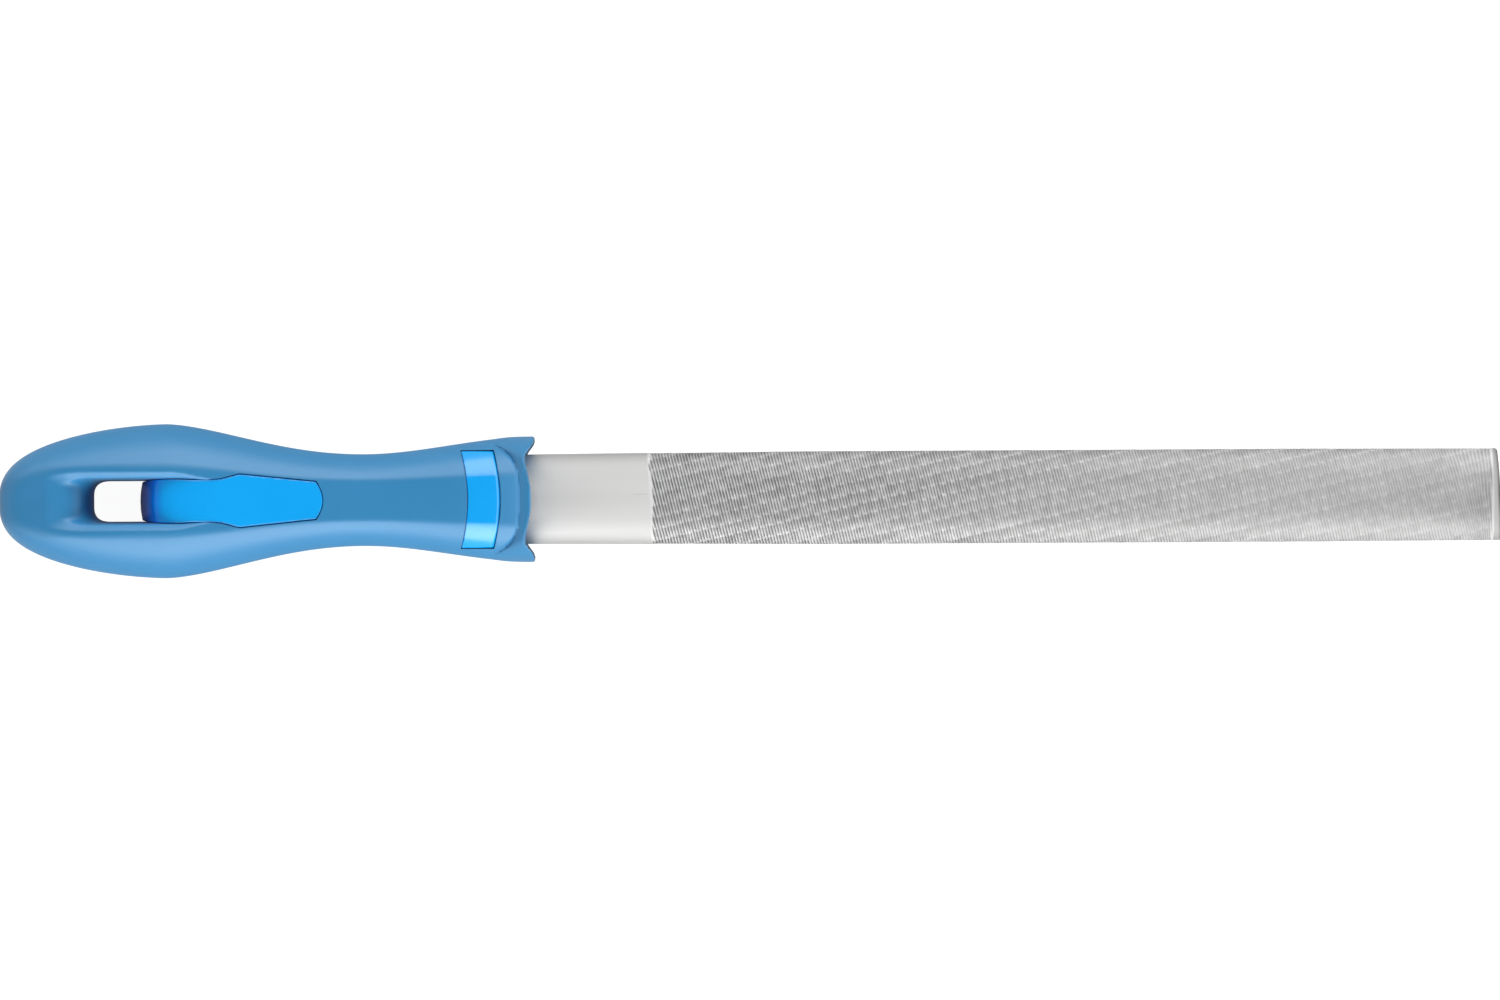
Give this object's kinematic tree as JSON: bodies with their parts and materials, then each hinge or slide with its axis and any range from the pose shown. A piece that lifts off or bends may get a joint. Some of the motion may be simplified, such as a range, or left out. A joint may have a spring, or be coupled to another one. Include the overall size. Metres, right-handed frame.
{
  "type": "half-round hand file with moulded handle",
  "caption": "Half-round file with a plain heel and a tapered tang, in a waisted soft-grip handle with a hanging slot and flared guard.",
  "frame": {"origin": "on the blade's flat side, on its centre line, at the foremost plane of the handle's guard", "axes": "+X along the blade to its tip, +Z out of the blade's rounded side, +Y across the blade to its left edge as seen from the handle with the rounded side up"},
  "size_m": [0.3842, 0.0394, 0.0284],
  "materials": {
    "file_steel": "Bare hardened file steel: a plain satin heel, then fine crossed cuts on both faces and along both edges",
    "core_plastic": "Hard moulded plastic in a bright clear blue, smooth and fairly glossy",
    "grip_rubber": "Soft moulded elastomer in a greyish mid blue, smooth with a satin sheen"
  },
  "bodies": {
    "file": {"file_blade": "file_steel"},
    "handle": {"handle_core": "core_plastic", "soft_grip": "grip_rubber"}
  },
  "joints": [
    {"name": "handle_pull_off", "type": "slide", "parent": "file", "child": "handle", "axis": [-1, 0, 0], "range_m": [0, 0.07]}
  ]
}
